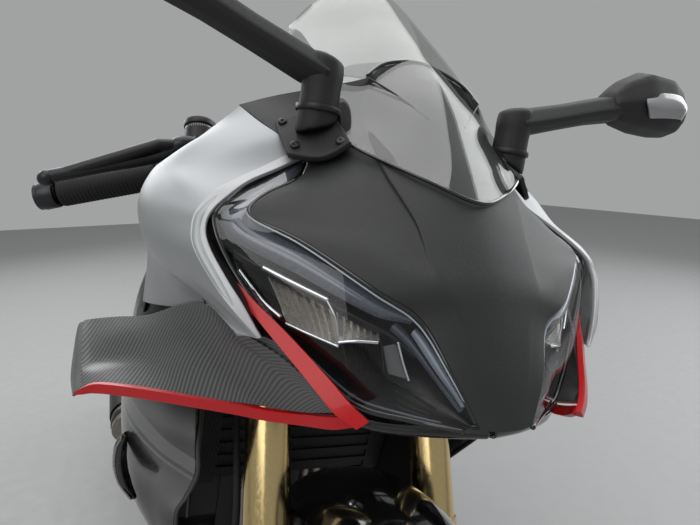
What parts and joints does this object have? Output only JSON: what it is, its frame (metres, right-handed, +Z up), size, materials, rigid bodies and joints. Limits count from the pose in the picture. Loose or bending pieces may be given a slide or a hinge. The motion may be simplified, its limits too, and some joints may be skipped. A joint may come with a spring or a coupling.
{
  "type": "sport bike",
  "caption": "Fully faired sport bike leaning on its side stand, with small wings below its slanted headlamps, turning steering, rolling wheels, a folding stand and a hinged filler cap.",
  "frame": {"origin": "on the ground, under the middle of the parked bike", "axes": "-Y forward, +X to the rider's left, +Z up; the bike leans 10 degrees to its left on the side stand"},
  "size_m": [0.7844, 2.0125, 1.1478],
  "materials": {
    "tyre": "matt black rubber",
    "rim_black": "satin black",
    "disc_steel": "ground steel",
    "steel": "brushed",
    "dark_alloy": "dark anodised",
    "fork_gold": "gold anodised",
    "fork_chrome": "hard chrome",
    "grip_rubber": "knurled black rubber",
    "control_black": "satin black",
    "gloss_black": "gloss black",
    "frame_alloy": "dark satin",
    "engine_alloy": "cast, dark",
    "radiator_black": "matt black",
    "shock_steel": "painted spring",
    "tank_grey": "matt dark grey",
    "cap_alloy": "turned alloy",
    "seat_cover": "black cover",
    "lamp_red": "clear red",
    "plastic_black": "moulded black",
    "nose_grey": "fine textured dark grey",
    "lamp_black": "gloss black with bright reflectors",
    "lens_clear": "clear",
    "screen_clear": "light smoke",
    "panel_silver": "satin silver",
    "wing_carbon": "grey carbon weave",
    "trim_red": "gloss red",
    "stand_steel": "satin black"
  },
  "bodies": {
    "chassis": {"frame": "frame_alloy", "engine": "engine_alloy", "radiator": "radiator_black", "exhaust": "steel", "swingarm": "dark_alloy", "rear_shock": "shock_steel", "chain": "steel", "rear_caliper": "dark_alloy", "fuel_tank": "tank_grey", "seats": "seat_cover", "tail_cowl": "gloss_black", "plate_bracket": "plastic_black", "rear_lamps": "lamp_red", "nose_cowl": "nose_grey", "headlamp_lenses": "lens_clear", "headlamps": "lamp_black", "windscreen": "screen_clear", "cockpit_hood": "plastic_black", "instruments": "plastic_black", "upper_cowls": "panel_silver", "wings": "wing_carbon", "wing_trims": "trim_red", "side_fairing_left": "gloss_black", "side_fairing_right": "gloss_black", "belly_pan": "gloss_black", "mirrors": "plastic_black", "footrests": "dark_alloy", "foot_controls": "dark_alloy"},
    "steering": {"triple_clamps": "dark_alloy", "fork_tubes": "fork_gold", "fork_legs": "fork_chrome", "front_calipers": "dark_alloy", "clip_ons": "dark_alloy", "grips": "grip_rubber", "hand_controls": "control_black", "front_fender": "gloss_black"},
    "front_wheel": {"front_tyre": "tyre", "front_rim": "rim_black", "front_discs": "disc_steel"},
    "rear_wheel": {"rear_tyre": "tyre", "rear_rim": "rim_black", "rear_disc": "disc_steel", "rear_sprocket": "steel"},
    "side_stand": {"side_stand": "stand_steel"},
    "fuel_cap": {"fuel_cap": "cap_alloy"}
  },
  "joints": [
    {"name": "steering_turn", "type": "hinge", "parent": "chassis", "child": "steering", "pos_m": [-0.02789, -0.42401, 0.82265], "axis": [0.158, 0.4147, 0.8961], "range_deg": [-25, 25]},
    {"name": "front_wheel_spin", "type": "hinge", "parent": "steering", "child": "front_wheel", "pos_m": [-0.12069, -0.70723, 0.29635], "axis": [0.9848, 0, -0.1736], "continuous": true},
    {"name": "rear_wheel_spin", "type": "hinge", "parent": "chassis", "child": "rear_wheel", "pos_m": [-0.11799, 0.69277, 0.31166], "axis": [0.9848, 0, -0.1736], "continuous": true},
    {"name": "side_stand_fold", "type": "hinge", "parent": "chassis", "child": "side_stand", "pos_m": [-0.00348, 0.07277, 0.22398], "axis": [0.9032, -0.2672, 0.3358], "range_deg": [0, 100]},
    {"name": "fuel_cap_lift", "type": "hinge", "parent": "chassis", "child": "fuel_cap", "pos_m": [-0.00086, -0.20623, 0.97594], "axis": [0.9848, 0, -0.1736], "range_deg": [0, 90]}
  ]
}
